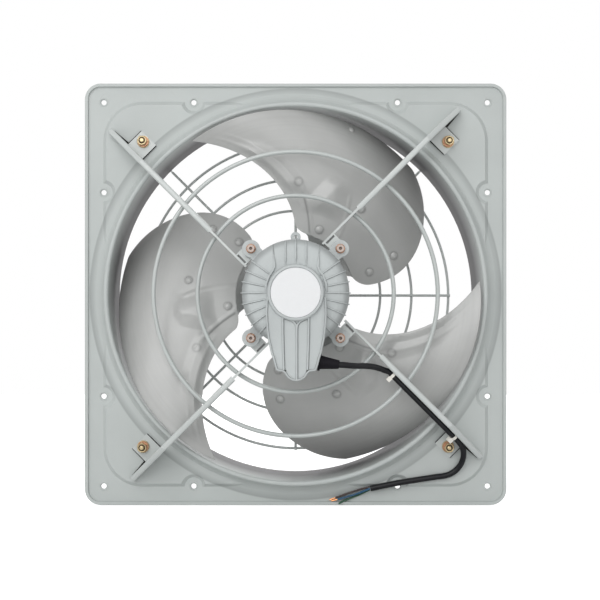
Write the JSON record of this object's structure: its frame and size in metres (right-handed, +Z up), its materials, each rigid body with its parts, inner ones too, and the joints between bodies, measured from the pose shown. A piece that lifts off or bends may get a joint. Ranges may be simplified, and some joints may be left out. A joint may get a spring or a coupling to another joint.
{
  "type": "exhaust fan",
  "caption": "Square wall-mounted exhaust fan with a bell-mouth throat, a motor on diagonal arms, a riveted sheet-metal rotor, wire guards and a bare-ended cable.",
  "frame": {"origin": "on the fan's axis, in the plane where the frame's rim meets the wall", "axes": "+X right and +Z up seen from the motor side, +Y along the fan's axis into the wall opening"},
  "size_m": [0.48, 0.1946, 0.48],
  "materials": {
    "frame_paint": "semi-gloss",
    "arm_paint": "semi-gloss",
    "wire_paint": "semi-gloss",
    "blade_paint": "semi-gloss",
    "motor_paint": "satin",
    "zinc_yellow": "satin",
    "bright_steel": "satin",
    "ground_steel": "polished",
    "core_steel": "matte",
    "copper": "satin",
    "brass": "satin",
    "label": "satin",
    "ivory_plastic": "satin",
    "dark_plastic": "satin",
    "black_rubber": "matte",
    "cable_jacket": "satin",
    "blue_lead": "gloss",
    "green_lead": "gloss",
    "brown_lead": "gloss",
    "tie_plastic": "satin"
  },
  "bodies": {
    "frame": {"frame_plate": "frame_paint", "arm_upper_right": "arm_paint", "arm_upper_left": "arm_paint", "arm_lower_left": "arm_paint", "arm_lower_right": "arm_paint", "foot_bolts": "zinc_yellow", "foot_spring_washers": "zinc_yellow", "foot_washers": "zinc_yellow", "foot_nuts": "zinc_yellow", "front_ring_inner": "wire_paint", "front_ring_outer": "wire_paint", "rear_guard_rings": "wire_paint", "rear_guard_spokes": "wire_paint", "rear_guard_legs": "wire_paint", "motor_shell": "motor_paint", "lug_bolts": "bright_steel", "lug_washers": "zinc_yellow", "lug_nuts": "bright_steel", "motor_end_cover": "motor_paint", "drive_end_shield": "motor_paint", "shield_screws": "bright_steel", "stator_core": "core_steel", "stator_windings": "copper", "bearing_outer_races": "ground_steel", "bearing_balls": "ground_steel", "bearing_cages": "brass", "wave_washer": "bright_steel", "terminal_cover": "motor_paint", "terminal_back_plate": "motor_paint", "terminal_cover_screws": "bright_steel", "terminal_block": "ivory_plastic", "inner_leads": "dark_plastic", "capacitor": "dark_plastic", "label_disc": "label", "cable_boot": "black_rubber", "power_cable": "cable_jacket", "lead_blue": "blue_lead", "lead_green": "green_lead", "lead_brown": "brown_lead", "lead_tips": "copper", "cable_ties": "tie_plastic"},
    "rotor": {"motor_shaft": "ground_steel", "shaft_key": "bright_steel", "rotor_core": "core_steel", "bearing_inner_races": "ground_steel", "fan_hub": "bright_steel", "fan_spider": "blade_paint", "blade_1": "blade_paint", "blade_2": "blade_paint", "blade_3": "blade_paint", "blade_rivets": "blade_paint", "balance_rivet": "blade_paint", "hub_rivets": "bright_steel", "hub_washer": "bright_steel", "hub_nut": "bright_steel"}
  },
  "joints": [
    {"name": "fan_spin", "type": "hinge", "parent": "frame", "child": "rotor", "pos_m": [0, 0, 0], "axis": [0, -1, 0], "continuous": true}
  ]
}
